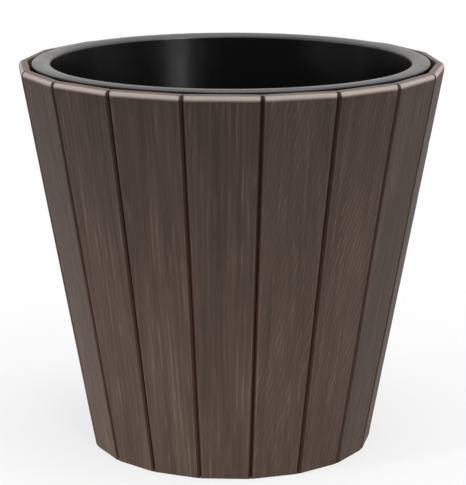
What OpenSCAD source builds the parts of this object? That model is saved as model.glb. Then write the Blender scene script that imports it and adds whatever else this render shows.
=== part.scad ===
// Round tapered garden planter. Eighteen flat boards stand in a ring, mitred like the staves of a tub.
// Two angle hoops inside hold them, the lower one carries a slatted base, and a moulded liner hangs by
// its lip on the upper one and lifts out.
// Millimetres, +Z up. The origin is on the ground, on the axis of the tub.

/* [Tub] */
// Diameter across the corners of the ring of staves, at their upper ends
top_d = 404; // [370:1:440]
// Diameter across the corners of the ring of staves, on the ground
foot_d = 271; // [250:1:300]
// Height of the staves
stave_h = 367.5; // [320:0.5:420]
// Thickness of a stave
stave_t = 9; // [8:0.5:12]

/* [Stave edges] */
// Radius on the upper outer edge of a stave
top_round = 5; // [2:0.5:7]
// Radius on the lower outer edge of a stave
foot_round = 2; // [1:0.5:6]
// Gap between neighbouring staves
stave_gap = 0.3; // [0.1:0.05:0.6]
// Width of the V groove over a joint
groove_w = 5.5; // [2:0.1:7]
// Depth of the V groove over a joint
groove_d = 4.5; // [2:0.1:6]

/* [Hoops] */
// Thickness of the hoop metal
hoop_t = 2.5; // [1.5:0.1:3]
// Height of a hoop
hoop_h = 30; // [26:1:40]
// Gap between a hoop and the backs of the staves
hoop_fit = 0.2; // [0.1:0.05:0.4]
// Width of the upper hoop's flange, which is the ledge for the liner
ledge_w = 12; // [8:0.5:13]
// Depth of that ledge below the upper ends of the staves
ledge_drop = 16.8; // [12:0.1:24]
// Width of the lower hoop's flange, which carries the base
seat_w = 16; // [14:0.5:24]
// Height of the lower hoop above the ground
seat_z = 14; // [8:0.5:24]

/* [Screws] */
// Diameter of a screw's shank
screw_d = 3.5; // [3:0.1:4]
// Length of a screw under its head
screw_l = 8.5; // [7:0.1:9]
// Diameter of a screw's head
head_d = 7; // [6:0.1:8]
// Height of a screw's head
head_h = 2.2; // [1.6:0.1:2.6]
// Gap all round a screw's shank in its hole
screw_fit = 0.15; // [0.1:0.05:0.3]
// Gap under a screw's head
head_seat = 0.1; // [0.05:0.05:0.2]
// Distance of a screw from the free edge of its hoop
screw_inset = 9; // [7:0.5:10]

/* [Base] */
// Thickness of a base slat
slat_t = 10; // [9:0.5:12]
// Gap between base slats
slat_gap = 3; // [2:0.5:8]
// Gap between the ends of the slats and the lower hoop
slat_end_gap = 1; // [0.5:0.1:2]

/* [Liner] */
// Wall thickness of the liner
liner_t = 3; // [2:0.1:3.5]
// Width of the liner's lip
lip_w = 17.5; // [14:0.1:20]
// Height of the lip, from the lower edge of its skirt to its crown
lip_h = 19; // [16:0.5:24]
// Rise of the lip's crown above its edges
lip_rise = 2; // [1:0.1:3]
// Radius on both edges of the lip
lip_round = 2; // [1:0.1:2.5]
// Thickness of the lip's skirt and crown
skirt_t = 2.5; // [1.5:0.1:3]
// Gap between the lip and the backs of the staves
lip_gap = 2.5; // [1:0.1:4]
// Gap between the lip's skirt and the ledge that it hangs on
lip_seat = 0.3; // [0.2:0.05:0.5]
// Distance of the liner's wall from the backs of the staves, at its floor
liner_foot_gap = 14; // [10:0.5:24]
// Gap between the liner's floor and the base slats
floor_gap = 4; // [2:0.5:12]
// Radius between the liner's floor and its wall, outside
floor_round = 10; // [6:0.5:16]
// Diameter of a drain hole
drain_d = 12; // [8:0.5:16]
// Number of drain holes in the ring
drain_n = 6; // [4:1:8]
// Diameter of the ring of drain holes
drain_ring_d = 140; // [90:1:160]

/* [Hidden] */
// Steps that round shapes are drawn in
$fa = 5;
$fs = 0.5;

// How far a cutting shape runs past what it cuts
over = 5;

// Staves in the ring, and slats in the base
STAVES = 18;
SLATS = 5;

function stave_name(k) = str("stave_", k < 10 ? "0" : "", k);
function slat_name(k) = str("base_slat_", k);

// Staves: radii of their outer faces and of their backs, on the centre line of a stave
stave_turn = 360 / STAVES;
mitre = stave_turn / 2;
face_slope = (top_d - foot_d) / 2 * cos(mitre) / stave_h;
lean = atan(face_slope);
function face_r(z) = foot_d / 2 * cos(mitre) + face_slope * z;
function back_r(z) = face_r(z) - stave_t / cos(lean);
function stave_angle(k) = -90 + (k - 1) * stave_turn;

// Hoops
function hoop_r(z) = back_r(z) - hoop_fit;
function web_r(z) = hoop_r(z) - hoop_t;
ledge_z = stave_h - ledge_drop;
upper_hoop_z = ledge_z - hoop_h;
upper_screw_z = upper_hoop_z + screw_inset;
lower_screw_z = seat_z + hoop_h - screw_inset;

// Base slats
slat_z = seat_z + hoop_t;
base_r = web_r(slat_z) - slat_end_gap;
slat_pitch = (2 * base_r + slat_gap) / SLATS;
base_screw_r = (base_r + hoop_r(seat_z) - seat_w) / 2;
function slat_y(k) = (k - (SLATS + 1) / 2) * slat_pitch;
function slat_screw_x(k) = sqrt(pow(base_screw_r, 2) - pow(slat_y(k), 2));

// Liner: the lip and its skirt follow the backs of the staves, and the wall runs from the lip to the floor
floor_z = slat_z + slat_t + floor_gap;
skirt_z = ledge_z + lip_seat;
crown_z = skirt_z + lip_h;
function lip_r(z) = back_r(z) - lip_gap;
mouth_r = lip_r(crown_z) - lip_w;
liner_slope = (mouth_r + liner_t - (back_r(floor_z) - liner_foot_gap)) / (crown_z - floor_z);
liner_lean = atan(liner_slope);
function inner_r(z) = mouth_r - (crown_z - z) * liner_slope;
function outer_r(z) = inner_r(z) + liner_t;
function wall_middle_r(z) = inner_r(z) + liner_t / 2;

// The crown of the lip is an arc across its whole width
lip_edge_z = crown_z - lip_rise;
crown_radius = (pow(lip_w / 2, 2) + pow(lip_rise, 2)) / (2 * lip_rise);
crown_c = [mouth_r + lip_w / 2, crown_z - crown_radius];

// Height at which the line r = at0 + slope * z is as far as reach from the point c, on its upper side
function crossing_z(at0, slope, c, reach) =
    let (a = 1 + pow(slope, 2),
         b = 2 * (slope * (at0 - c[0]) - c[1]),
         d = pow(at0 - c[0], 2) + pow(c[1], 2) - pow(reach, 2))
    (-b + sqrt(b * b - 4 * a * d)) / (2 * a);

// Unit vector at an angle
function unit(angle) = [cos(angle), sin(angle)];

// The tip that a round of radius r takes off a corner. The round is centred on c and touches the sides
// of the corner in the directions from and to.
module tip(c, r, from, to) {
    reach = r + over;
    difference() {
        polygon([
            c,
            c + reach * unit(from),
            c + reach * (unit(from) + unit(to)) / (1 + unit(from) * unit(to)),
            c + reach * unit(to)]);
        translate(c)
            circle(r = r);
    }
}

// Centre of a round of radius r in the corner of a leaning line and a level line at height z, where
// up is 1 for a corner above the round and -1 for one below it
function round_c(at0, slope, z, r, up) =
    let (cz = z - up * r)
    [at0 + slope * cz - r * sqrt(1 + pow(slope, 2)), cz];

// Side view of a stave: a leaning slab with rounded outer corners
module stave_profile() {
    difference() {
        polygon([
            [back_r(0), 0],
            [face_r(0), 0],
            [face_r(stave_h), stave_h],
            [back_r(stave_h), stave_h]]);
        tip(round_c(face_r(0), face_slope, stave_h, top_round, 1), top_round, -lean, 90);
        tip(round_c(face_r(0), face_slope, 0, foot_round, -1), foot_round, -90, -lean);
    }
}

// The sector that one stave may fill, between its two mitre planes
module stave_sector() {
    half_gap = stave_gap / 2;
    reach = top_d;
    half_w = reach * tan(mitre) - half_gap / cos(mitre);
    translate([0, 0, -over])
        linear_extrude(stave_h + 2 * over)
            polygon([[half_gap / sin(mitre), 0], [reach, -half_w], [reach, half_w]]);
}

// A V-shaped bar along the corner line between two staves
module joint_groove() {
    rise = atan((top_d - foot_d) / 2 / stave_h);
    half_w = groove_w / 2 * (groove_d + over) / groove_d;
    translate([foot_d / 2, 0, 0])
        rotate([0, rise, 0])
            translate([0, 0, -over])
                linear_extrude(stave_h / cos(rise) + 2 * over)
                    polygon([[-groove_d, 0], [over, -half_w], [over, half_w]]);
}

// Places a screw so that its head seats on the inner side of a hoop at height z
module at_hoop(z) {
    translate([web_r(z), 0, z])
        rotate([0, lean - 90, 0])
            children();
}

// Places a screw at each stave
module at_staves() {
    for (k = [1:STAVES])
        rotate([0, 0, stave_angle(k)])
            children();
}

// Places a screw at both ends of base slat k, with its head under the lower hoop
module at_slat_ends(k) {
    for (side = [-1, 1])
        translate([side * slat_screw_x(k), slat_y(k), seat_z])
            rotate([180, 0, 0])
                children();
}

// Round-headed screw, its seat at z = 0 and its shank pointing down
module screw() {
    rim_h = head_h / 3;
    dome_h = head_h - rim_h;
    dome_r = (pow(head_d / 2, 2) + pow(dome_h, 2)) / (2 * dome_h);
    translate([0, 0, head_seat])
        rotate_extrude()
            union() {
                square([head_d / 2, rim_h]);
                intersection() {
                    square([head_d / 2, head_h]);
                    translate([0, head_h - dome_r])
                        circle(r = dome_r);
                }
            }
    translate([0, 0, head_seat - screw_l])
        cylinder(h = screw_l, d = screw_d);
}

// Hole for a screw's shank
module screw_hole() {
    translate([0, 0, -screw_l - head_seat])
        cylinder(h = screw_l + head_seat + over, d = screw_d + 2 * screw_fit);
}

// One stave, numbered from the front and round to the right
module stave(k) {
    color([0.30, 0.25, 0.22])
        rotate([0, 0, stave_angle(k)])
            difference() {
                intersection() {
                    rotate([90, 0, 0])
                        linear_extrude(top_d * tan(mitre) + 2 * over, center = true)
                            stave_profile();
                    stave_sector();
                }
                for (side = [-1, 1])
                    rotate([0, 0, side * mitre])
                        joint_groove();
                at_hoop(upper_screw_z)
                    screw_hole();
                at_hoop(lower_screw_z)
                    screw_hole();
            }
}

// Angle ring under the lip of the liner, its flange at the top
module upper_hoop() {
    color([0.58, 0.60, 0.61])
        difference() {
            rotate_extrude()
                polygon([
                    [hoop_r(upper_hoop_z), upper_hoop_z],
                    [hoop_r(ledge_z), ledge_z],
                    [hoop_r(ledge_z) - ledge_w, ledge_z],
                    [hoop_r(ledge_z) - ledge_w, ledge_z - hoop_t],
                    [web_r(ledge_z - hoop_t), ledge_z - hoop_t],
                    [web_r(upper_hoop_z), upper_hoop_z]]);
            at_staves()
                at_hoop(upper_screw_z)
                    screw_hole();
        }
}

// Angle ring at the foot, its flange at the bottom
module lower_hoop() {
    top = seat_z + hoop_h;
    color([0.58, 0.60, 0.61])
        difference() {
            rotate_extrude()
                polygon([
                    [hoop_r(seat_z) - seat_w, seat_z],
                    [hoop_r(seat_z), seat_z],
                    [hoop_r(top), top],
                    [web_r(top), top],
                    [web_r(slat_z), slat_z],
                    [hoop_r(seat_z) - seat_w, slat_z]]);
            at_staves()
                at_hoop(lower_screw_z)
                    screw_hole();
            for (k = [1:SLATS])
                at_slat_ends(k)
                    screw_hole();
        }
}

module upper_hoop_screws() {
    color([0.70, 0.70, 0.68])
        at_staves()
            at_hoop(upper_screw_z)
                screw();
}

module lower_hoop_screws() {
    color([0.70, 0.70, 0.68])
        at_staves()
            at_hoop(lower_screw_z)
                screw();
}

// One slat of the base, numbered from the front to the back
module base_slat(k) {
    color([0.27, 0.22, 0.19])
        difference() {
            translate([0, 0, slat_z])
                linear_extrude(slat_t)
                    intersection() {
                        circle(r = base_r);
                        translate([0, slat_y(k)])
                            square([2 * base_r, slat_pitch - slat_gap], center = true);
                    }
            at_slat_ends(k)
                screw_hole();
        }
}

module base_screws() {
    color([0.70, 0.70, 0.68])
        for (k = [1:SLATS])
            at_slat_ends(k)
                screw();
}

// Section of the lip: a crowned strip that turns down into a skirt. It reaches inwards past the wall of
// the pot, and the inside of the pot cuts it off there.
module lip_profile() {
    in_c_at0 = inner_r(0) + lip_round / cos(liner_lean);
    in_z = crossing_z(in_c_at0, liner_slope, crown_c, crown_radius - lip_round);
    in_c = [in_c_at0 + liner_slope * in_z, in_z];
    out_c_at0 = lip_r(0) - lip_round / cos(lean);
    out_z = crossing_z(out_c_at0, face_slope, crown_c, crown_radius - lip_round);
    out_c = [out_c_at0 + face_slope * out_z, out_z];
    channel_z = lip_edge_z - skirt_t;
    difference() {
        intersection() {
            polygon([
                [mouth_r - over, skirt_z],
                [lip_r(skirt_z), skirt_z],
                [lip_r(crown_z), crown_z],
                [mouth_r - over, crown_z]]);
            union() {
                translate(crown_c)
                    circle(r = crown_radius);
                translate([0, skirt_z])
                    square([top_d, lip_edge_z - skirt_z]);
            }
        }
        polygon([
            [wall_middle_r(skirt_z - over), skirt_z - over],
            [lip_r(skirt_z - over) - skirt_t, skirt_z - over],
            [lip_r(channel_z) - skirt_t, channel_z],
            [wall_middle_r(channel_z), channel_z]]);
        tip(in_c, lip_round, atan2(in_c[1] - crown_c[1], in_c[0] - crown_c[0]), 180 - liner_lean);
        tip(out_c, lip_round, -lean, atan2(out_c[1] - crown_c[1], out_c[0] - crown_c[0]));
    }
}

// Section of the pot below its lip, filled from the axis outwards. Its wall leans, and its floor
// corner is round.
module pot_fill(at0, low_z, high_z, r) {
    difference() {
        polygon([
            [0, low_z],
            [at0 + liner_slope * low_z, low_z],
            [at0 + liner_slope * high_z, high_z],
            [0, high_z]]);
        tip(round_c(at0, liner_slope, low_z, r, -1), r, -90, -liner_lean);
    }
}

// Moulded pot with a broad lip and drain holes
module liner() {
    color([0.06, 0.06, 0.07])
        difference() {
            rotate_extrude()
                difference() {
                    union() {
                        lip_profile();
                        pot_fill(outer_r(0), floor_z, lip_edge_z - lip_round, floor_round);
                    }
                    pot_fill(inner_r(0), floor_z + liner_t, crown_z + over, floor_round - liner_t);
                }
            for (k = [1:drain_n])
                rotate([0, 0, k * 360 / drain_n])
                    translate([drain_ring_d / 2, 0, floor_z - over])
                        cylinder(h = liner_t + 2 * over, d = drain_d);
        }
}

for (k = [1:STAVES])
    stave(k);
upper_hoop();
upper_hoop_screws();
lower_hoop();
lower_hoop_screws();
for (k = [1:SLATS])
    base_slat(k);
base_screws();
liner();
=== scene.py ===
# Studio scene of a round board planter with a lift-out liner. Metres, +Z up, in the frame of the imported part.
import math

import bmesh
import bpy
import numpy as np
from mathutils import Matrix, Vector


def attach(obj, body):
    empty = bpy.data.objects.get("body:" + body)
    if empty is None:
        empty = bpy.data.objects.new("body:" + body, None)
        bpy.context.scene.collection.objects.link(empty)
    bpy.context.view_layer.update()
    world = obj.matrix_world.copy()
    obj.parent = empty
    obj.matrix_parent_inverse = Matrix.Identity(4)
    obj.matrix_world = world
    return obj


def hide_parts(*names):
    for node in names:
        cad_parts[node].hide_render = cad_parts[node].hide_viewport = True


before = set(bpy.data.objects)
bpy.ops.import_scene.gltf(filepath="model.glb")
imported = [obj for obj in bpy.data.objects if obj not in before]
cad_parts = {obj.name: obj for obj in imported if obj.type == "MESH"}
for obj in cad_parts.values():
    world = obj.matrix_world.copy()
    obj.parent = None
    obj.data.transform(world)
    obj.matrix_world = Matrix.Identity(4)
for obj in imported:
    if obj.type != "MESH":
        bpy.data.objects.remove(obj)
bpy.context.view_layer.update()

# Tub: diameters across the corners of its ring of staves, and the staves themselves
TOP_D = 0.404
FOOT_D = 0.271
STAVE_H = 0.3675
STAVE_T = 0.009
STAVES = 18
TOP_ROUND = 0.005
FOOT_ROUND = 0.002
STAVE_GAP = 0.0003
GROOVE_W = 0.0055
GROOVE_D = 0.0045
MITRE = math.pi / STAVES
SLOPE = (TOP_D - FOOT_D) / 2 * math.cos(MITRE) / STAVE_H
LEAN = math.atan(SLOPE)

# Hoops: angle section, its bend and its edges rounded, with a flange at the top of the upper one and at the
# foot of the lower one
HOOP_T = 0.0025
HOOP_H = 0.030
HOOP_FIT = 0.0002
HOOP_BEND = 0.0012
HOOP_EDGE = HOOP_T / 8
LEDGE_Z = 0.3507
LEDGE_W = 0.012
SEAT_Z = 0.014
SEAT_W = 0.016

# Screws: 18 through each hoop's web, two into each base slat
SCREW_INSET = 0.009
SCREW_D = 0.0035
SCREW_L = 0.0085
SCREW_TIP = 0.001
HEAD_D = 0.007
HEAD_H = 0.0022
HEAD_SEAT = 0.0001

# Cross recess of a screw: half an arm's width and the run of its sides, its reach and the run of its end,
# its depth, and how that depth falls off from the middle: a share less the radius over a length
ARM_HALF_W = 0.00045
ARM_SIDE = 0.00012
ARM_REACH = 0.0019
ARM_END = 0.0002
RECESS_DEPTH = 0.0012
RECESS_FALL = (1.15, 0.0022)

# Liner: wall, lip with its skirt, and floor with its drain holes
LINER_T = 0.003
LIP_W = 0.0175
LIP_H = 0.019
LIP_RISE = 0.002
LIP_ROUND = 0.002
SKIRT_T = 0.0025
CHANNEL_ROUND = 0.0008
LIP_GAP = 0.0025
LIP_SEAT = 0.0003
LINER_FOOT_GAP = 0.014
FLOOR_GAP = 0.004
FLOOR_ROUND = 0.010
DRAIN_D = 0.012
DRAINS = 6
DRAIN_RING_D = 0.140
DRAIN_EASE = 0.0004

# Base slats, and how far the outer ones stay inside the circle of the base
SLATS = 5
SLAT_T = 0.010
SLAT_GAP = 0.003
SLAT_END_GAP = 0.001
SLAT_INSET = 0.0006

# Camera: its distance from the axis of the tub, its height, and how it is turned
CAMERA_AWAY = 1.944
CAMERA_HEIGHT = 0.6587
CAMERA_TURN = math.radians(2.25)
CAMERA_DIP = math.radians(13.5)
CAMERA_SENSOR = 36.0
CAMERA_LENS = 154.5
CAMERA_SHIFT = 0.0041

# Seeds of the grain of staves and slats, of how light each stave is, and of the turns of the screws
STAVE_SEED = 100
SLAT_SEED = 300
TONE_SEED = 13503
SCREW_SEED = 500

# Angles in degrees from which an edge stays sharp, and the distance at which the liner's points are joined
BOARD_SHARP = 35
HOOP_SHARP = 40
SCREW_SHARP = 30
LINER_SHARP = 30
WELD = 1e-6


def face_r(z):
    """Radius of the staves' outer faces at height z, on the middle line of a stave."""
    return FOOT_D / 2 * math.cos(MITRE) + SLOPE * z


def back_r(z):
    """Radius of the staves' backs at height z."""
    return face_r(z) - STAVE_T / math.cos(LEAN)


def hoop_r(z):
    """Outer radius of a hoop's web at height z."""
    return back_r(z) - HOOP_FIT


def web_r(z):
    """Inner radius of a hoop's web at height z."""
    return hoop_r(z) - HOOP_T


def stave_angle(k):
    """Direction in which stave k stands, seen from the axis."""
    return -math.pi / 2 + (k - 1) * 2 * MITRE


def spun(x, y, angle):
    """A place in the plane, or arrays of places, turned about the origin."""
    c, s = math.cos(angle), math.sin(angle)
    return x * c - y * s, x * s + y * c


# Noise and grain

# Growth rings of a board: their spacing, how deep their heart lies, and how far they wander. Each cell is
# the size of a noise's squares across and along the board.
RING_PITCH = (0.0042, 0.0056)
RING_DEPTH = (0.006, 0.010)
WANDER = 0.0018
WANDER_CELL = (0.02, 0.06)

# Each cut of a board: where the heart lies across it, how fast its rings run off along it, and whether each
# of the two may fall on either side
CUT_FORMS = {
    "flat": ((-0.010, 0.010), (0.09, 0.15), False, True),
    "slant": ((0.028, 0.034), (0.26, 0.3), False, False),
    "edge": ((0.045, 0.075), (0.015, 0.03), True, True),
}

# How deep growth lines, fibres, ripples and dents are pressed in. A line's width is a share of the spacing.
LINE_DEPTH = 0.00012
LINE_WIDTH = 0.17
FIBRE_DEPTH = 0.00006
FIBRE_CELL = (0.0011, 0.045)
RIPPLE_DEPTH = 0.00008
RIPPLE_CELL = (0.0035, 0.11)
DENT_DEPTH = 0.0009
DENT_CELL = (0.006, 0.016)
DENT_FROM = 0.72


def value_noise(rng, u, v, cell_u, cell_v):
    """Smooth noise from -1 to 1 at the points (u, v), with a random value at each corner of its cells."""
    gu, gv = u / cell_u, v / cell_v
    iu, iv = np.floor(gu).astype(int), np.floor(gv).astype(int)
    fu, fv = gu - iu, gv - iv
    fu, fv = fu * fu * (3 - 2 * fu), fv * fv * (3 - 2 * fv)
    iu, iv = iu - iu.min(), iv - iv.min()
    values = rng.uniform(-1, 1, (iu.max() + 2, iv.max() + 2))
    low = values[iu, iv] * (1 - fu) + values[iu + 1, iv] * fu
    high = values[iu, iv + 1] * (1 - fu) + values[iu + 1, iv + 1] * fu
    return low * (1 - fv) + high * fv


def ring_phase(rng, across, along, cut):
    """Which growth ring shows at each point of a board, as a number that rises by 1 from ring to ring.
    A flat cut shows arches, a slant cut one leaning flank of them, and an edge cut upright lines."""
    hearts, tapers, heart_sided, taper_sided = CUT_FORMS[cut]
    pitch = rng.uniform(*RING_PITCH)
    depth = rng.uniform(*RING_DEPTH)
    side = rng.choice((-1.0, 1.0))
    heart = rng.uniform(*hearts) * (side if heart_sided else 1)
    taper = rng.uniform(*tapers) * (side if taper_sided else 1)
    wander = WANDER * value_noise(rng, across, along, *WANDER_CELL)
    return (np.hypot(across - heart, depth) + taper * along + wander) / pitch


def grain_depth(rng, across, along, phase):
    """How deep the grain is pressed into a board at each point, in metres."""
    line = np.exp(-(((phase % 1.0) - 0.5) / LINE_WIDTH) ** 2)
    fibre = value_noise(rng, across, along, *FIBRE_CELL)
    ripple = value_noise(rng, across, along, *RIPPLE_CELL)
    dent = np.clip(value_noise(rng, across, along, *DENT_CELL) - DENT_FROM, 0, 1)
    return LINE_DEPTH * line + FIBRE_DEPTH * (fibre + 1) + RIPPLE_DEPTH * (ripple + 1) + DENT_DEPTH * dent


# Meshes

def points_of(x, y, z):
    """Coordinates, as arrays or single numbers, put together into one row of points."""
    return np.stack(np.broadcast_arrays(x, y, z), axis=-1).reshape(-1, 3)


def grid_faces(rows, columns, wrap):
    """Quads of a grid of points, row after row. With wrap, the last row joins the first."""
    faces = []
    for i in range(rows if wrap else rows - 1):
        a, b = i * columns, (i + 1) % rows * columns
        faces += [(a + j, a + j + 1, b + j + 1, b + j) for j in range(columns - 1)]
    return faces


def add_mesh(name, points, faces, sharp_from=None, weld=False):
    """A mesh object. With sharp_from it is smooth up to that angle, and weld joins points that coincide."""
    mesh = bpy.data.meshes.new(name)
    mesh.from_pydata([tuple(p) for p in points], [], faces)
    mesh.validate()
    if weld:
        joined = bmesh.new()
        joined.from_mesh(mesh)
        bmesh.ops.remove_doubles(joined, verts=joined.verts, dist=WELD)
        bmesh.ops.recalc_face_normals(joined, faces=joined.faces)
        joined.to_mesh(mesh)
        joined.free()
    if sharp_from is not None:
        mesh.shade_smooth()
        mesh.set_sharp_from_angle(angle=math.radians(sharp_from))
    piece = bpy.data.objects.new(name, mesh)
    bpy.context.scene.collection.objects.link(piece)
    return piece


def add_attribute(piece, name, values, kind="FLOAT", field="value"):
    """Stores a number, or a vector, for each point of a piece's mesh."""
    attribute = piece.data.attributes.new(name, kind, "POINT")
    attribute.data.foreach_set(field, np.asarray(values, np.float32).ravel())


def finish_piece(piece, body, slot, material, *nodes):
    """Gives a piece its material, hides the CAD nodes that it stands for, and lets it ride on a body."""
    piece.data.materials.append(material)
    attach(piece, body)
    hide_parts(*nodes)


# Staves

# Staves that aren't cut on edge. Those right of the front one show leaning streaks.
CUTS = {2: "slant", 3: "slant", 6: "flat", 9: "flat", 12: "slant", 14: "flat", 16: "flat"}

# Steps across a stave close to each of its edges, where the V groove is, and in between
EDGE_STEPS = np.array([0, 0.35, 0.8, 1.3, 1.75, 2.1, 2.4, 2.65, 2.95, 3.4, 4.0]) * 0.001
FACE_COLUMNS = 110

# Steps along a stave's outline: on its face, on its rounds and on its ends
FACE_ROWS = 84
ROUND_ROWS = 7
END_ROWS = 4

# Radius on the edges of its back, and the depth and the width of the ease on its long edges
EASE = 0.0007
EDGE_EASE_D = 0.0005
EDGE_EASE_W = 0.0006

# Wear that rounds the upper corners of a groove, how much it varies, and the reach of the lighter strip beside
# it, which is partly wear and partly painted highlight
WEAR = 0.0005
WEAR_SPREAD = 0.0002
WEAR_CELL = (0.9, 0.03)
ARRIS_W = 0.0009

# Factor and power of the painted highlight along the upper edge, which reaches 1 on the middle of the top round
HIGHLIGHT_FACTOR = 5.4
HIGHLIGHT_POWER = 1.5

# Step between the places of two staves in the noise of their material
STAVE_GRAIN_STEP = 0.37


def side_path():
    """A stave's outline seen from the side, from the back of its foot round its face to its back.
    Gives the places and the outward directions in the plane of radius and height, how far each place
    lies below the plane of the face, and how much it counts as face and as end, 1 at the top of a stave
    and -1 at its foot."""
    places, outward, below, face, end = [], [], [], [], []

    def put(x, z, direction, is_face, is_end):
        places.append((x, z))
        outward.append((math.cos(direction), math.sin(direction)))
        below.append([(face_r(z) - x) * math.cos(LEAN)])
        face.append([is_face])
        end.append([is_end])

    def centre(z, up, r):
        cz = z - up * r
        return face_r(cz) - r / math.cos(LEAN), cz

    foot_x, foot_z = centre(0, -1, FOOT_ROUND)
    top_x, top_z = centre(STAVE_H, 1, TOP_ROUND)
    quarter = math.pi / 2
    for x in np.linspace(back_r(0) + EASE, foot_x, END_ROWS, endpoint=False):
        put(x, 0, -quarter, 0, -1)
    for t in np.linspace(0, 1, ROUND_ROWS, endpoint=False):
        a = -quarter + t * (quarter - LEAN)
        put(foot_x + FOOT_ROUND * math.cos(a), foot_z + FOOT_ROUND * math.sin(a), a, t, t - 1)
    z_low = foot_z - FOOT_ROUND * math.sin(LEAN)
    z_high = top_z - TOP_ROUND * math.sin(LEAN)
    for z in np.linspace(z_low, z_high, FACE_ROWS, endpoint=False):
        put(face_r(z), z, -LEAN, 1, 0)
    for t in np.linspace(0, 1, ROUND_ROWS, endpoint=False):
        a = -LEAN + t * (quarter + LEAN)
        put(top_x + TOP_ROUND * math.cos(a), top_z + TOP_ROUND * math.sin(a), a, 1 - t, t)
    for x in np.linspace(top_x, back_r(STAVE_H) + EASE, END_ROWS, endpoint=False):
        put(x, STAVE_H, quarter, 0, 1)
    for t in (0, 0.5, 1):
        a = quarter + t * (quarter - LEAN)
        z = STAVE_H - EASE * (1 - math.sin(a))
        put(back_r(z) + EASE * (1 + math.cos(a)), z, a, 0, 1 - t)
    # The place at t = 1 is the first one, so it is left out here
    for t in (0, 0.5):
        a = math.pi - LEAN + t * (quarter + LEAN)
        z = EASE * (1 + math.sin(a))
        put(back_r(z) + EASE * (1 + math.cos(a)), z, a, 0, -t)
    return [np.array(v, float) for v in (places, outward, below, face, end)]


def stave(k, tone, material):
    """Stave k: a grid of points round its side outline and across its width, with its grain pressed in."""
    rng = np.random.default_rng(STAVE_SEED + k)
    places, outward, below, face, end = side_path()
    rows = len(places)
    inner = np.linspace(-1, 1, FACE_COLUMNS)[1:-1]
    columns = 2 * len(EDGE_STEPS) + len(inner)

    def half_width(x):
        return x * math.tan(MITRE) - STAVE_GAP / 2 / math.cos(MITRE)

    half = half_width(places[:, :1])
    y = np.hstack([-half + EDGE_STEPS, inner * (half - EDGE_STEPS[-1]), half - EDGE_STEPS[::-1]])
    from_edge = half - np.abs(y)
    step = np.hypot(*np.diff(places, axis=0).T)
    along = np.concatenate([[0], np.cumsum(step)])[:, None] + np.zeros(columns)

    # The V groove over a joint, its upper corner rounded by wear
    groove_span = GROOVE_W / 2 - STAVE_GAP / 2
    drop = GROOVE_D * (1 - from_edge / groove_span)
    wear = WEAR + WEAR_SPREAD * value_noise(rng, y / half, along, *WEAR_CELL)
    drop = (drop + np.sqrt(drop ** 2 + wear ** 2)) / 2
    groove = np.clip(drop / GROOVE_D, 0, 1) * face
    drop = np.maximum(drop - below, 0) * (face > 0)
    eased = EDGE_EASE_D * np.clip(1 - from_edge / EDGE_EASE_W, 0, 1) ** 2
    on_outside = np.clip(face + np.abs(end), 0, 1)

    phase = ring_phase(rng, y, along, CUTS.get(k, "edge"))
    pressed = grain_depth(rng, y, along, phase) * face
    depth = drop + eased * on_outside + pressed * (1 - groove)
    x = places[:, :1] - outward[:, :1] * depth
    z = places[:, 1:] - outward[:, 1:] * depth
    y = np.sign(y) * np.minimum(np.abs(y), half_width(x))

    faces = grid_faces(rows, columns, wrap=True)
    faces.append([i * columns for i in range(rows)])
    faces.append([i * columns + columns - 1 for i in reversed(range(rows))])
    points = points_of(*spun(x, y, stave_angle(k)), z)
    piece = add_mesh(f"board_{k:02d}", points, faces, BOARD_SHARP)

    grain = points_of(y, along, k * STAVE_GRAIN_STEP)
    # Painted highlight: a pale band along the middle of the top round, kept in the "edge" attribute
    painted_highlight = HIGHLIGHT_FACTOR * face ** HIGHLIGHT_POWER * np.maximum(end, 0)
    add_attribute(piece, "grain", grain, "FLOAT_VECTOR", "vector")
    add_attribute(piece, "ring", phase)
    add_attribute(piece, "groove", groove)
    add_attribute(piece, "arris", np.exp(-((from_edge - groove_span) / ARRIS_W) ** 2) * face)
    add_attribute(piece, "end", np.repeat(end, columns))
    add_attribute(piece, "edge", np.repeat(painted_highlight, columns))
    add_attribute(piece, "tone", np.full(rows * columns, tone))
    finish_piece(piece, "tub", "stave_board", material, f"stave_{k:02d}")


# Base slats

# Radius on a slat's edges and the steps over it, and the steps across and along a slat
SLAT_EASE = 0.0012
SLAT_EASE_STEPS = 5
SLAT_ROWS = 40
SLAT_COLUMNS = 150

# How far from the axis the count along the grain begins, and the places of slats in their material's noise
SLAT_GRAIN_FROM = 0.3
SLAT_GRAIN_START = 7
SLAT_GRAIN_STEP = 0.41

SLAT_Z = SEAT_Z + HOOP_T
BASE_R = web_r(SLAT_Z) - SLAT_END_GAP
SLAT_PITCH = (2 * BASE_R + SLAT_GAP) / SLATS


def slat_y(k):
    """Distance of slat k's middle line from the axis, towards the back."""
    return (k - (SLATS + 1) / 2) * SLAT_PITCH


def slat_steps(half, count):
    """Places from -half to half: small steps over the eased edges and equal ones in between."""
    edge = SLAT_EASE * (1 - np.cos(np.linspace(0, math.pi / 2, SLAT_EASE_STEPS)))
    inner = np.linspace(-1, 1, count)[1:-1]
    return np.concatenate([-half + edge, inner * (half - edge[-1]), half - edge[::-1]], axis=-1)


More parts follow.
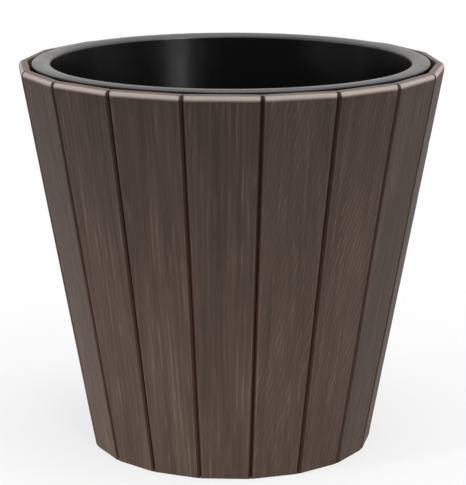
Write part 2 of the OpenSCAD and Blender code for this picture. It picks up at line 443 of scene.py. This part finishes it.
def slat(k, material):
    """Slat k of the base: a sawn board with eased edges, its ends cut to the circle of the base."""
    rng = np.random.default_rng(SLAT_SEED + k)
    low = max(slat_y(k) - (SLAT_PITCH - SLAT_GAP) / 2, -BASE_R + SLAT_INSET)
    high = min(slat_y(k) + (SLAT_PITCH - SLAT_GAP) / 2, BASE_R - SLAT_INSET)
    middle, half_w = (low + high) / 2, (high - low) / 2
    y = middle + slat_steps(half_w, SLAT_ROWS)
    half_l = np.sqrt(BASE_R ** 2 - y ** 2)[:, None]
    x = slat_steps(half_l, SLAT_COLUMNS)
    y = y[:, None] + np.zeros_like(x)

    inset = np.minimum(half_w - np.abs(y - middle), half_l - np.abs(x))
    fall = SLAT_EASE - np.sqrt(SLAT_EASE ** 2 - np.clip(SLAT_EASE - inset, 0, None) ** 2)
    across, along = y - middle, x + SLAT_GRAIN_FROM
    phase = ring_phase(rng, across, along, "flat" if k % 2 == 0 else "edge")
    inside = np.clip(inset / SLAT_EASE, 0, 1)
    top = SLAT_Z + SLAT_T - fall - grain_depth(rng, across, along, phase) * inside
    under = SLAT_Z + fall + grain_depth(rng, across, along, phase) * inside

    rows, columns = x.shape
    count = rows * columns
    faces = grid_faces(rows, columns, wrap=False)
    faces += [tuple(count + i for i in reversed(face)) for face in faces]
    rim = list(range(columns)) + [i * columns + columns - 1 for i in range(1, rows)]
    rim += [(rows - 1) * columns + j for j in range(columns - 2, -1, -1)]
    rim += [i * columns for i in range(rows - 2, 0, -1)]
    faces += [(rim[i - 1], count + rim[i - 1], count + rim[i], rim[i]) for i in range(len(rim))]
    points = np.concatenate([points_of(x, y, top), points_of(x, y, under)])
    piece = add_mesh(f"slat_{k}", points, faces, BOARD_SHARP)

    grain = points_of(across, along, SLAT_GRAIN_START + k * SLAT_GRAIN_STEP)
    end = np.clip(1 - (half_l - np.abs(x)) / (SLAT_EASE / 2), 0, 1)
    add_attribute(piece, "grain", [grain, grain], "FLOAT_VECTOR", "vector")
    add_attribute(piece, "ring", [phase, phase])
    add_attribute(piece, "end", [end, end])
    add_attribute(piece, "tone", np.full(2 * count, rng.uniform(-1, 1)))
    finish_piece(piece, "tub", "base_board", material, f"base_slat_{k}")


# Turned pieces: hoops and screws

# Segments round a turned piece and round a screw, and the steps on a rounded corner of a hoop
TURNED_SEGMENTS = 216
SCREW_SEGMENTS = 40
HOOP_STEPS = 5

# Radii of the rings of points on a screw's head: first and last over its recess, then out to its rim
RECESS_RINGS = np.linspace(0.0002, 0.0022, 11)
RIM_RINGS = np.linspace(0.0024, HEAD_D / 2, 6)


def turned(section, closed=True):
    """Points and faces of a section of (radius, height) places, turned about the axis. When it is closed,
    its last place joins the first."""
    angles = np.linspace(0, 2 * math.pi, TURNED_SEGMENTS, endpoint=False)
    r, z = np.array(section).T
    points = points_of(np.outer(np.cos(angles), r), np.outer(np.sin(angles), r), z)
    count = len(section)
    faces = []
    for i in range(TURNED_SEGMENTS):
        a, b = i * count, (i + 1) % TURNED_SEGMENTS * count
        faces += [(a + j, b + j, b + (j + 1) % count, a + (j + 1) % count)
                  for j in range(count if closed else count - 1)]
    return points, faces


def rounded(corners, radii, steps):
    """A closed section whose corners are rounded, each with a radius of its own. A radius of 0 keeps a
    corner as it is."""
    section = []
    for i, (corner, radius) in enumerate(zip(corners, radii)):
        if radius == 0:
            section.append(corner)
            continue
        here = np.array(corner)
        back = np.array(corners[i - 1]) - here
        ahead = np.array(corners[(i + 1) % len(corners)]) - here
        back /= np.hypot(*back)
        ahead /= np.hypot(*ahead)
        half = math.acos(float(np.clip(back @ ahead, -1, 1))) / 2
        centre = here + (back + ahead) / np.hypot(*(back + ahead)) * radius / math.sin(half)
        start = here + back * radius / math.tan(half) - centre
        stop = here + ahead * radius / math.tan(half) - centre
        sweep = math.atan2(start[0] * stop[1] - start[1] * stop[0], float(start @ stop))
        section += [tuple(centre + spun(*start, t)) for t in np.linspace(0, sweep, steps)]
    return section


def hoops(material):
    """Both angle hoops, with rounded bends and edges."""
    low, high = LEDGE_Z - HOOP_H, SEAT_Z + HOOP_H
    ledge_r, seat_r = hoop_r(LEDGE_Z) - LEDGE_W, hoop_r(SEAT_Z) - SEAT_W
    sections = {
        "upper": [(hoop_r(low), low), (hoop_r(LEDGE_Z), LEDGE_Z), (ledge_r, LEDGE_Z),
                  (ledge_r, LEDGE_Z - HOOP_T), (web_r(LEDGE_Z - HOOP_T), LEDGE_Z - HOOP_T),
                  (web_r(low), low)],
        "lower": [(seat_r, SEAT_Z), (hoop_r(SEAT_Z), SEAT_Z), (hoop_r(high), high), (web_r(high), high),
                  (web_r(SLAT_Z), SLAT_Z), (seat_r, SLAT_Z)],
    }
    radii = (HOOP_EDGE, HOOP_BEND, HOOP_EDGE, HOOP_EDGE, HOOP_BEND / 2, HOOP_EDGE)
    for place, corners in sections.items():
        points, faces = turned(rounded(corners, radii, HOOP_STEPS))
        piece = add_mesh(f"hoop_{place}", points, faces, HOOP_SHARP)
        finish_piece(piece, "tub", "hoop_metal", material, f"{place}_hoop")


def screw_shape():
    """Points and faces of one pan-head screw with a cross recess, its seat at z = 0, its shank downwards."""
    rim_h = HEAD_H / 3
    dome_h = HEAD_H - rim_h
    dome_r = ((HEAD_D / 2) ** 2 + dome_h ** 2) / (2 * dome_h)
    angles = np.linspace(0, 2 * math.pi, SCREW_SEGMENTS, endpoint=False)
    rings = []
    for r in (*RECESS_RINGS, *RIM_RINGS):
        x, y = r * np.cos(angles), r * np.sin(angles)
        dome = HEAD_SEAT + HEAD_H - dome_r + math.sqrt(dome_r ** 2 - r ** 2)
        beside = np.minimum(np.abs(x), np.abs(y))
        recess = np.clip((ARM_HALF_W - beside) / ARM_SIDE, 0, 1) * np.clip((ARM_REACH - r) / ARM_END, 0, 1)
        deep = RECESS_DEPTH * np.clip(RECESS_FALL[0] - r / RECESS_FALL[1], 0, 1)
        rings.append(points_of(x, y, dome - recess * deep))
    for r, z in ((HEAD_D / 2, HEAD_SEAT), (SCREW_D / 2, HEAD_SEAT),
                 (SCREW_D / 2, HEAD_SEAT - SCREW_L + SCREW_TIP), (SCREW_D / 4, HEAD_SEAT - SCREW_L)):
        rings.append(points_of(r * np.cos(angles), r * np.sin(angles), z))
    faces = []
    for i in range(len(rings) - 1):
        a, b = i * SCREW_SEGMENTS, (i + 1) * SCREW_SEGMENTS
        for j in range(SCREW_SEGMENTS):
            n = (j + 1) % SCREW_SEGMENTS
            faces.append((a + j, b + j, b + n, a + n))
    faces.append(tuple(range(SCREW_SEGMENTS)))
    last = (len(rings) - 1) * SCREW_SEGMENTS
    faces.append(tuple(last + j for j in reversed(range(SCREW_SEGMENTS))))
    return np.concatenate(rings), faces


def screws(material):
    """Three pieces: the screws of each hoop and those of the base, each screw turned a little its own way."""
    shape, shape_faces = screw_shape()
    rng = np.random.default_rng(SCREW_SEED)
    sets = {"screws_upper": ("upper_hoop_screws", []), "screws_lower": ("lower_hoop_screws", []),
            "screws_base": ("base_screws", [])}
    for name, z in (("screws_upper", LEDGE_Z - HOOP_H + SCREW_INSET),
                    ("screws_lower", SEAT_Z + HOOP_H - SCREW_INSET)):
        for k in range(1, STAVES + 1):
            a = stave_angle(k)
            outward = Vector((math.cos(a), math.sin(a), 0))
            axis = Vector((-math.cos(LEAN) * outward.x, -math.cos(LEAN) * outward.y, math.sin(LEAN)))
            sets[name][1].append((outward * web_r(z) + Vector((0, 0, z)), axis))
    ring_r = (BASE_R + hoop_r(SEAT_Z) - SEAT_W) / 2
    for k in range(1, SLATS + 1):
        x = math.sqrt(ring_r ** 2 - slat_y(k) ** 2)
        for side in (-1, 1):
            sets["screws_base"][1].append((Vector((side * x, slat_y(k), SEAT_Z)), Vector((0, 0, -1))))
    for name, (node, places) in sets.items():
        points, faces = [], []
        for place, axis in places:
            turn = axis.to_track_quat("Z", "X").to_matrix()
            spin = rng.uniform(0, math.pi / 2)
            local = points_of(*spun(shape[:, 0], shape[:, 1], spin), shape[:, 2])
            faces += [tuple(len(points) + i for i in face) for face in shape_faces]
            points += [tuple(p) for p in local @ np.array(turn).T + np.array(place)]
        piece = add_mesh(name, points, faces, SCREW_SHARP)
        finish_piece(piece, "tub", "screw_metal", material, node)


# Liner

FLOOR_Z = SLAT_Z + SLAT_T + FLOOR_GAP
SKIRT_Z = LEDGE_Z + LIP_SEAT
CROWN_Z = SKIRT_Z + LIP_H
LIP_EDGE_Z = CROWN_Z - LIP_RISE
CHANNEL_Z = LIP_EDGE_Z - SKIRT_T
MOUTH_R = back_r(CROWN_Z) - LIP_GAP - LIP_W
LINER_SLOPE = (MOUTH_R + LINER_T - (back_r(FLOOR_Z) - LINER_FOOT_GAP)) / (CROWN_Z - FLOOR_Z)

# Steps on a rounded corner of the liner and across the crown of its lip, and how many of the crown's at each
# side make way for the lip's rounds
LINER_STEPS = 8
CROWN_STEPS = 14
CROWN_CUT = 3

# Radius inside which the floor is flat, and steps along it between two drain holes
FLOOR_R = 0.100
FLOOR_STEPS = 12


def inner_r(z):
    """Inner radius of the liner's wall at height z."""
    return MOUTH_R - (CROWN_Z - z) * LINER_SLOPE


def lip_r(z):
    """Outer radius of the lip and its skirt at height z."""
    return back_r(z) - LIP_GAP


def liner_section():
    """The liner's section from the flat of its floor up the inside, over the lip and down the outside."""
    crown_radius = ((LIP_W / 2) ** 2 + LIP_RISE ** 2) / (2 * LIP_RISE)
    half = math.asin(LIP_W / 2 / crown_radius)
    crown = [(MOUTH_R + LIP_W / 2 + crown_radius * math.sin(a), CROWN_Z - crown_radius * (1 - math.cos(a)))
             for a in np.linspace(-half, half, CROWN_STEPS)[CROWN_CUT:-CROWN_CUT]]
    corners = [(FLOOR_R, FLOOR_Z + LINER_T), (inner_r(FLOOR_Z + LINER_T), FLOOR_Z + LINER_T),
               (inner_r(LIP_EDGE_Z), LIP_EDGE_Z), *crown, (lip_r(LIP_EDGE_Z), LIP_EDGE_Z),
               (lip_r(SKIRT_Z), SKIRT_Z), (lip_r(SKIRT_Z) - SKIRT_T, SKIRT_Z),
               (lip_r(CHANNEL_Z) - SKIRT_T, CHANNEL_Z), (inner_r(CHANNEL_Z) + LINER_T, CHANNEL_Z),
               (inner_r(FLOOR_Z) + LINER_T, FLOOR_Z), (FLOOR_R, FLOOR_Z)]
    radii = [0, FLOOR_ROUND - LINER_T, LIP_ROUND, *[0] * len(crown), LIP_ROUND,
             SKIRT_T / 3, SKIRT_T / 3, CHANNEL_ROUND, CHANNEL_ROUND, FLOOR_ROUND, 0]
    return rounded(corners, radii, LINER_STEPS)


def liner_floor():
    """Points and faces of the flat of the floor: one sector round each drain hole."""
    turn = math.pi / DRAINS
    arc = np.linspace(-turn, turn, TURNED_SEGMENTS // DRAINS + 1)
    spoke = np.linspace(1, 0, FLOOR_STEPS + 1)[1:]
    edge = [(FLOOR_R * math.cos(a), FLOOR_R * math.sin(a)) for a in arc]
    edge += [(FLOOR_R * s * math.cos(turn), FLOOR_R * s * math.sin(turn)) for s in spoke]
    edge += [(FLOOR_R * s * math.cos(turn), -FLOOR_R * s * math.sin(turn)) for s in spoke[-2::-1]]
    edge = np.array(edge)
    hole = np.array((DRAIN_RING_D / 2, 0))
    ray = (edge - hole) / np.linalg.norm(edge - hole, axis=1)[:, None]
    wall, rim = hole + ray * DRAIN_D / 2, hole + ray * (DRAIN_D / 2 + DRAIN_EASE)
    top = FLOOR_Z + LINER_T
    loops = [(edge, top), (rim, top), (wall, top - DRAIN_EASE), (wall, FLOOR_Z + DRAIN_EASE),
             (rim, FLOOR_Z), (edge, FLOOR_Z)]
    count = len(edge)
    points, faces = [], []
    for k in range(DRAINS):
        for i, (loop, z) in enumerate(loops):
            if i > 0:
                a, b = len(points) - count, len(points)
                faces += [(a + j, a + (j + 1) % count, b + (j + 1) % count, b + j) for j in range(count)]
            points += list(points_of(*spun(*loop.T, 2 * turn * k), z))
    return points, faces


def liner(material):
    """The moulded liner: a turned wall and lip, joined to a floor with drain holes."""
    wall_points, faces = turned(liner_section(), closed=False)
    floor_points, floor_faces = liner_floor()
    faces += [tuple(len(wall_points) + i for i in face) for face in floor_faces]
    piece = add_mesh("pot", [*wall_points, *floor_points], faces, LINER_SHARP, weld=True)
    finish_piece(piece, "liner", "liner_plastic", material, "liner")


# Materials

class Tree:
    """Adds nodes to the tree of a material or a world, and links them."""

    def __init__(self, owner):
        owner.use_nodes = True
        self.owner = owner
        self.nodes = owner.node_tree.nodes
        self.links = owner.node_tree.links

    def put(self, target, value):
        """Sets a socket to a value, or links it to another socket."""
        if isinstance(value, bpy.types.NodeSocket):
            self.links.new(value, target)
        else:
            target.default_value = value

    def fill(self, node, inputs):
        """Puts values on a node's inputs, by their names or numbers."""
        for key, value in inputs.items():
            self.put(node.inputs[key], value)

    def add(self, kind, inputs=None, **settings):
        """A node of one kind with its inputs and settings."""
        node = self.nodes.new(kind)
        for key, value in settings.items():
            setattr(node, key, value)
        self.fill(node, inputs or {})
        return node

    def attribute(self, name, output="Fac"):
        return self.add("ShaderNodeAttribute", attribute_name=name).outputs[output]

    def math(self, operation, a, b=0.0):
        return self.add("ShaderNodeMath", {0: a, 1: b}, operation=operation).outputs[0]

    def length(self, vector):
        return self.add("ShaderNodeVectorMath", {0: vector}, operation="LENGTH").outputs["Value"]

    def scaled(self, vector, scale):
        return self.add("ShaderNodeMapping", {"Vector": vector, "Scale": scale}).outputs[0]

    def noise(self, vector, scale=1.0, *, detail, roughness=0.55, distortion=0.0):
        inputs = {"Vector": vector, "Scale": scale, "Detail": detail, "Roughness": roughness,
                  "Distortion": distortion}
        return self.add("ShaderNodeTexNoise", inputs).outputs["Fac"]

    def steps(self, value, low, high, low_out=0.0, high_out=1.0, kind="SMOOTHSTEP"):
        """A step of value from low_out at low to high_out at high, smooth unless kind says otherwise."""
        inputs = {"Value": value, "From Min": low, "From Max": high, "To Min": low_out, "To Max": high_out}
        return self.add("ShaderNodeMapRange", inputs, interpolation_type=kind).outputs[0]

    def mix(self, share, a, b):
        return self.add("ShaderNodeMix", {0: share, 6: a, 7: b}, data_type="RGBA").outputs[2]

    def bump(self, height, distance, strength):
        inputs = {"Height": height, "Distance": distance, "Strength": strength}
        return self.add("ShaderNodeBump", inputs).outputs[0]

    def seen_directly(self):
        """1 for rays of the camera and for reflected and refracted ones, and 0 for other rays."""
        path = self.add("ShaderNodeLightPath")
        seen = path.outputs["Is Camera Ray"]
        for name in ("Is Glossy Ray", "Is Transmission Ray"):
            seen = self.math("MAXIMUM", seen, path.outputs[name])
        return seen

    def surface(self, inputs):
        """Sets the inputs of a material's surface and gives the material."""
        self.fill(self.nodes["Principled BSDF"], inputs)
        return self.owner


def rgb(r, g, b):
    """A colour written in 0 to 255 steps, as the shader's sockets take it."""
    linear = [((c / 255 + 0.055) / 1.055) ** 2.4 if c > 10 else c / 255 / 12.92 for c in (r, g, b)]
    return (*linear, 1.0)


# Colours of pores, of the painted shade at the foot of a board and of the painted shade in a groove
PORE_BROWN = rgb(30, 22, 18)
FOOT_SHADE = rgb(26, 21, 18)
GROOVE_SHADE = rgb(56, 37, 28)

# Painted grey sheen on the liner's lip: how far below the crown's edge it begins and is full, and how far
# inside the lip's outer radius it begins to fade and is gone
SHEEN_BELOW = (0.0025, 0.001)
SHEEN_INSIDE = (0.0026, 0.0004)


def board_material(name, deep, middle, light, end_and_highlight, roughness):
    """Brown board with upright grain: rings, fibres, pores, lighter streaks and pale ends, a painted highlight
    on the upper edges, painted shade at the foot and in the grooves, and strips beside the grooves made lighter
    by wear and by a painted highlight."""
    t = Tree(bpy.data.materials.new(name))
    grain = t.attribute("grain", "Vector")
    fibre = t.noise(t.scaled(grain, (900, 14, 40)), detail=5, roughness=0.62)
    pores = t.noise(t.scaled(grain, (2600, 110, 40)), detail=2)
    streak = t.noise(t.scaled(grain, (260, 19, 40)), detail=4, roughness=0.6, distortion=0.25)
    band = t.noise(t.scaled(grain, (110, 3.5, 40)), detail=3, roughness=0.55, distortion=0.2)
    cloud = t.noise(t.scaled(grain, (30, 7, 40)), detail=3)

    # Dark late wood and light early wood of each growth ring, the light one only in places
    ring = t.math("FRACT", t.math("ADD", t.attribute("ring"), t.math("MULTIPLY", streak, 0.8)))
    late = t.steps(t.math("ABSOLUTE", t.math("SUBTRACT", ring, 0.55)), 0.05, 0.3, 1.0, 0.0)
    early = t.steps(t.math("ABSOLUTE", t.math("SUBTRACT", ring, 0.15)), 0.0, 0.2, 1.0, 0.0)
    early = t.math("MULTIPLY", early, t.steps(t.math("ADD", streak, cloud), 1.0, 1.3, 0.0, 0.24))

    color = t.mix(t.steps(t.math("ADD", fibre, t.math("MULTIPLY", band, 0.9)), 0.5, 1.35), deep, middle)
    color = t.mix(t.math("MULTIPLY", t.steps(streak, 0.5, 0.76), 0.18), color, light)
    color = t.mix(early, color, light)
    color = t.mix(t.math("MULTIPLY", late, 0.26), color, deep)
    color = t.mix(t.math("MULTIPLY", t.steps(pores, 0.66, 0.78), 0.5), color, PORE_BROWN)
    tone = t.steps(t.attribute("tone"), -1, 1, 0.87, 1.03)
    value = t.math("ADD", tone, t.steps(cloud, 0.2, 0.8, -0.1, 0.1))
    color = t.add("ShaderNodeHueSaturation", {"Color": color, "Value": value}).outputs[0]
    color = t.mix(t.steps(t.attribute("end"), 0.0, 0.06, 0.0, 0.22), color, end_and_highlight)
    # Painted highlight on the top round of a stave, in the pale end colour
    color = t.mix(t.steps(t.attribute("edge"), 0.45, 1.0, 0.0, 0.95), color, end_and_highlight)
    # Painted shade: the foot of a board darker, standing in for its contact shadow
    color = t.mix(t.steps(t.attribute("end"), -0.9, -0.1, 0.6, 0.0), color, FOOT_SHADE)
    # Lighter strips beside the grooves: partly wear, partly painted highlight
    wear_and_highlight = t.math("MULTIPLY", t.attribute("arris"), t.steps(cloud, 0.35, 0.65, 0.0, 0.22))
    color = t.mix(wear_and_highlight, color, light)
    # Painted shade in the V grooves
    color = t.mix(t.steps(t.attribute("groove"), 0.01, 0.22, 0.0, 0.9), color, GROOVE_SHADE)

    height = t.math("ADD", t.math("MULTIPLY", fibre, 0.6), t.math("MULTIPLY", late, -0.5))
    height = t.math("SUBTRACT", height, t.steps(pores, 0.62, 0.8, 0.0, 0.8))
    return t.surface({"Base Color": color,
                      "Roughness": t.steps(fibre, 0.2, 0.8, roughness - 0.08, roughness + 0.1),
                      "Normal": t.bump(height, 0.0002, 0.7),
                      "Specular IOR Level": 0.12})


def plastic_material():
    """Black moulded plastic with a fine spark texture, rubbed places and a little dust. The top of its lip is
    glossier and carries a painted grey sheen."""
    t = Tree(bpy.data.materials.new("liner_black"))
    place = t.add("ShaderNodeTexCoord").outputs["Object"]
    spark = t.noise(place, 1500, detail=3)
    rub = t.noise(t.scaled(place, (22, 22, 9)), detail=5, roughness=0.65)
    dust = t.noise(place, 60, detail=6, roughness=0.7)
    height = t.add("ShaderNodeSeparateXYZ", {"Vector": place}).outputs["Z"]
    radius = t.length(t.scaled(place, (1, 1, 0)))
    rise = [LIP_EDGE_Z - below for below in SHEEN_BELOW]
    fade = [lip_r(CROWN_Z) - inside for inside in SHEEN_INSIDE]
    # Top of the lip: glossier, and with a painted grey sheen in its colour
    lip_sheen = t.math("MULTIPLY", t.steps(height, *rise), t.steps(radius, *fade, 1, 0))
    color = t.mix(t.steps(dust, 0.45, 0.8, 0.0, 0.14), rgb(6, 6, 6), rgb(26, 25, 24))
    # Painted sheen: the top of the lip greyer, less so in the rubbed places
    color = t.mix(t.math("MULTIPLY", lip_sheen, t.steps(rub, 0.2, 0.8, 0.65, 0.95)), color, rgb(76, 74, 71))
    roughness = t.math("ADD", t.steps(rub, 0.3, 0.7, 0.22, 0.34), t.math("MULTIPLY", lip_sheen, 0.08))
    return t.surface({"Base Color": color,
                      "Roughness": roughness,
                      "Specular IOR Level": t.steps(lip_sheen, 0, 1, 0.04, 0.38),
                      "Normal": t.bump(spark, 0.00012, 0.5)})


def galvanised_material():
    """Zinc-coated steel: dull patches of crystal in several greys, with fine scratches."""
    t = Tree(bpy.data.materials.new("hoop_zinc"))
    place = t.add("ShaderNodeTexCoord").outputs["Object"]
    spangle = t.add("ShaderNodeTexVoronoi", {"Vector": place, "Scale": 110.0}).outputs["Color"]
    patch = t.add("ShaderNodeSeparateColor", {"Color": spangle}).outputs[0]
    stain = t.noise(place, 25, detail=6, roughness=0.6)
    scratch = t.noise(t.scaled(place, (60, 60, 3000)), detail=2)
    color = t.mix(patch, rgb(176, 180, 182), rgb(206, 209, 210))
    color = t.mix(t.steps(stain, 0.5, 0.8, 0.0, 0.5), color, rgb(150, 148, 143))
    roughness = t.math("ADD", t.steps(patch, 0, 1, 0.32, 0.46), t.steps(stain, 0.4, 0.8, 0.0, 0.14))
    return t.surface({"Base Color": color,
                      "Roughness": roughness,
                      "Normal": t.bump(scratch, 0.00005, 0.4),
                      "Metallic": 1.0})


def screw_material():
    """Bright zinc-plated steel with a faint yellow cast and turning marks."""
    t = Tree(bpy.data.materials.new("screw_zinc"))
    place = t.add("ShaderNodeTexCoord").outputs["Object"]
    cloud = t.noise(place, 400, detail=4)
    return t.surface({"Base Color": t.mix(t.steps(cloud, 0.35, 0.65), rgb(196, 194, 186), rgb(214, 213, 208)),
                      "Roughness": t.steps(cloud, 0.3, 0.7, 0.22, 0.36),
                      "Normal": t.bump(t.noise(place, 4000, detail=2), 0.00003, 0.4),
                      "Metallic": 1.0})


# Studio

# Soft square lamps: name, place, side, and power
LAMPS = [
    ("key", (-2.0, -0.1, 1.1), 1.4, 8.5),
    ("fill", (2.0, 0.1, 1.0), 1.4, 10.5),
    ("top", (0.4, -0.2, 2.3), 1.6, 35.0),
]
LAMP_TARGET = Vector((0, 0, 0.2))

# Tall narrow lamp on the right. It isn't seen by matt surfaces, and its reflection shows inside the liner.
STRIP_PLACE = (1.25, -1.48, 0.68)
STRIP_SIZE = (0.22, 0.5)
STRIP_WATTS = 24.0

# Low spots on both sides of the camera: name, place and power. They fade out towards the rim.
SPOTS = [
    ("low_left", (-1.75, -1.0, 0.35), 205.0),
    ("low_right", (0.8, -1.9, 0.35), 100.0),
]
SPOT_TARGET = Vector((0, 0, -0.3))
SPOT_ANGLE = math.radians(40)
SPOT_RADIUS = 0.25

# Even light of the surroundings, and the floor: half its side, its colour, and its glow, which between two
# distances from the axis rises from one share to another
WORLD_LEVEL = 0.16
FLOOR_HALF = 8.0
FLOOR_WHITE = (0.86, 0.86, 0.86, 1)
FLOOR_GLOW = (0.14, 0.6, 0.72, 1.0)


def add_light(kind, name, place, target, watts):
    """A light of one kind that shines from its place towards a target."""
    light = bpy.data.objects.new(name, bpy.data.lights.new(name, kind))
    light.data.energy = watts
    light.location = place
    light.rotation_euler = (target - Vector(place)).to_track_quat("-Z", "Y").to_euler()
    bpy.context.scene.collection.objects.link(light)
    return light


def lamp(name, place, size, watts):
    """A rectangular soft lamp that faces the planter."""
    light = add_light("AREA", name, place, LAMP_TARGET, watts)
    light.data.shape = "RECTANGLE"
    light.data.size, light.data.size_y = size
    return light


def spot(name, place, watts):
    """A soft round spot that is brightest at the foot of the planter."""
    light = add_light("SPOT", name, place, SPOT_TARGET, watts)
    light.data.spot_size = SPOT_ANGLE
    light.data.spot_blend = 1.0
    light.data.shadow_soft_size = SPOT_RADIUS


def floor_material():
    """Matt white floor. To the camera it glows towards white, and it keeps a share of its shadows."""
    t = Tree(bpy.data.materials.new("floor_white"))
    t.nodes.clear()
    away = t.length(t.add("ShaderNodeNewGeometry").outputs["Position"])
    share = t.math("MULTIPLY", t.seen_directly(), t.steps(away, *FLOOR_GLOW, kind="LINEAR"))
    matt = t.add("ShaderNodeBsdfDiffuse", {"Color": FLOOR_WHITE}).outputs[0]
    glow = t.add("ShaderNodeEmission").outputs[0]
    mixed = t.add("ShaderNodeMixShader", {0: share, 1: matt, 2: glow}).outputs[0]
    t.add("ShaderNodeOutputMaterial", {"Surface": mixed})
    return t.owner


def world_light():
    """White surroundings to the camera and in reflections, and a lower even light on the planter."""
    world = bpy.data.worlds.new("studio")
    bpy.context.scene.world = world
    t = Tree(world)
    level = t.steps(t.seen_directly(), 0.0, 1.0, WORLD_LEVEL, 1.0, kind="LINEAR")
    t.fill(t.nodes["Background"], {"Color": (1, 1, 1, 1), "Strength": level})


def studio():
    """Camera, pale floor, white surroundings and soft lamps."""
    scene = bpy.context.scene
    camera = bpy.data.objects.new("camera", bpy.data.cameras.new("camera"))
    scene.collection.objects.link(camera)
    camera.location = (CAMERA_AWAY * math.sin(CAMERA_TURN), -CAMERA_AWAY * math.cos(CAMERA_TURN),
                       CAMERA_HEIGHT)
    camera.rotation_euler = (math.pi / 2 - CAMERA_DIP, 0, CAMERA_TURN)
    camera.data.sensor_fit = "AUTO"
    camera.data.sensor_width = CAMERA_SENSOR
    camera.data.lens = CAMERA_LENS
    camera.data.shift_x = CAMERA_SHIFT
    scene.camera = camera
    scene.view_settings.view_transform = "Standard"

    corners = [(-1, -1), (1, -1), (1, 1), (-1, 1)]
    floor = add_mesh("floor", [(x * FLOOR_HALF, y * FLOOR_HALF, 0) for x, y in corners], [(0, 1, 2, 3)])
    floor.data.materials.append(floor_material())
    world_light()
    for name, place, side, watts in LAMPS:
        lamp(name, place, (side, side), watts)
    lamp("strip", STRIP_PLACE, STRIP_SIZE, STRIP_WATTS).visible_diffuse = False
    for name, place, watts in SPOTS:
        spot(name, place, watts)


studio()
# The pale end colour of the staves is also the colour of their painted highlight
stave_wood = board_material("stave_wood", deep=rgb(57, 45, 38), middle=rgb(80, 66, 58),
                            light=rgb(124, 106, 93), end_and_highlight=rgb(188, 176, 167), roughness=0.55)
slat_wood = board_material("slat_wood", deep=rgb(58, 46, 38), middle=rgb(80, 66, 56),
                           light=rgb(120, 104, 90), end_and_highlight=rgb(110, 94, 80), roughness=0.62)
for k, tone in enumerate(np.random.default_rng(TONE_SEED).uniform(-1, 1, STAVES), 1):
    stave(k, tone, stave_wood)
for k in range(1, SLATS + 1):
    slat(k, slat_wood)
hoops(galvanised_material())
screws(screw_material())
liner(plastic_material())
